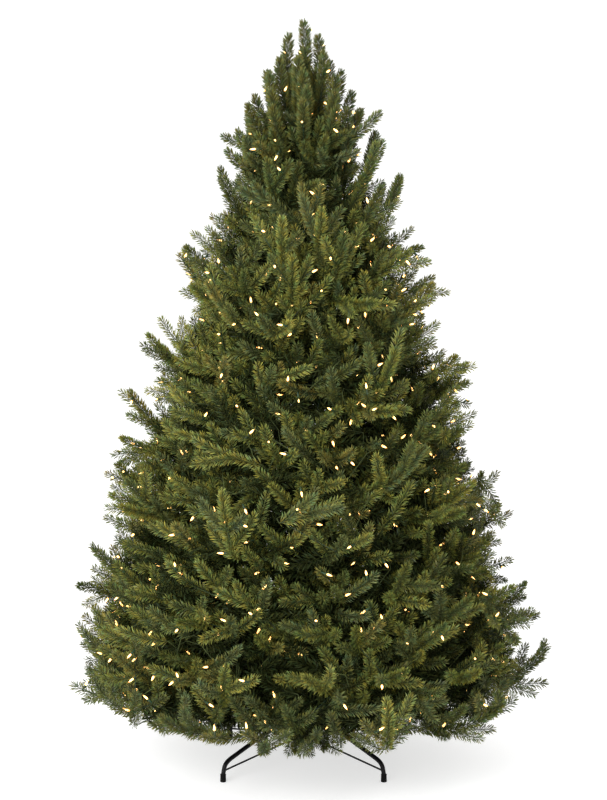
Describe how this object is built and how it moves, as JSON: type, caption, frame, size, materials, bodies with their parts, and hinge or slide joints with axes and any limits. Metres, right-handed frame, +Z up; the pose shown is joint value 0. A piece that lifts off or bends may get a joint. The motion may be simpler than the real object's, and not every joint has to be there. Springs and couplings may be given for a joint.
{
  "type": "artificial spruce christmas tree",
  "caption": "Artificial spruce christmas tree: a full cone of needle sprays in tiers round a sectional pole, with small lights, on a folding steel stand with braced legs and rubber caps.",
  "frame": {"origin": "on the floor, under the pole's axis, midway between the four feet", "axes": "+Z up the pole to the leader's tip, +X and +Y each halfway between two of the stand's legs, -Y towards the viewer's side"},
  "size_m": [1.524, 1.521, 2.286],
  "materials": {
    "foliage": "matt green cut-film and moulded needles",
    "bough": "steel rod wound with green needle strip",
    "pole": "satin green powder coat",
    "stand": "satin black powder coat",
    "foot": "matt black moulded rubber"
  },
  "bodies": {
    "root": {"foliage_tier1_1": "foliage", "foliage_tier1_2": "foliage", "foliage_tier1_3": "foliage", "foliage_tier1_4": "foliage", "foliage_tier1_5": "foliage", "foliage_tier1_6": "foliage", "bough_tier1_1": "bough", "bough_tier1_2": "bough", "bough_tier1_3": "bough", "bough_tier1_4": "bough", "bough_tier1_5": "bough", "bough_tier1_6": "bough", "foliage_tier2_1": "foliage", "foliage_tier2_2": "foliage", "foliage_tier2_3": "foliage", "foliage_tier2_4": "foliage", "foliage_tier2_5": "foliage", "foliage_tier2_6": "foliage", "bough_tier2_1": "bough", "bough_tier2_2": "bough", "bough_tier2_3": "bough", "bough_tier2_4": "bough", "bough_tier2_5": "bough", "bough_tier2_6": "bough", "foliage_tier3_1": "foliage", "foliage_tier3_2": "foliage", "foliage_tier3_3": "foliage", "foliage_tier3_4": "foliage", "foliage_tier3_5": "foliage", "bough_tier3_1": "bough", "bough_tier3_2": "bough", "bough_tier3_3": "bough", "bough_tier3_4": "bough", "bough_tier3_5": "bough", "foliage_tier4_1": "foliage", "foliage_tier4_2": "foliage", "foliage_tier4_3": "foliage", "foliage_tier4_4": "foliage", "foliage_tier5_1": "foliage", "foliage_tier5_2": "foliage", "foliage_tier5_3": "foliage", "foliage_top": "foliage", "pole_lower": "pole", "pole_middle": "pole", "pole_upper": "pole", "stand_socket": "stand", "stand_leg_1": "stand", "stand_brace_1": "stand", "stand_foot_1": "foot", "stand_leg_2": "stand", "stand_brace_2": "stand", "stand_foot_2": "foot", "stand_leg_3": "stand", "stand_brace_3": "stand", "stand_foot_3": "foot", "stand_leg_4": "stand", "stand_brace_4": "stand", "stand_foot_4": "foot"}
  },
  "joints": []
}
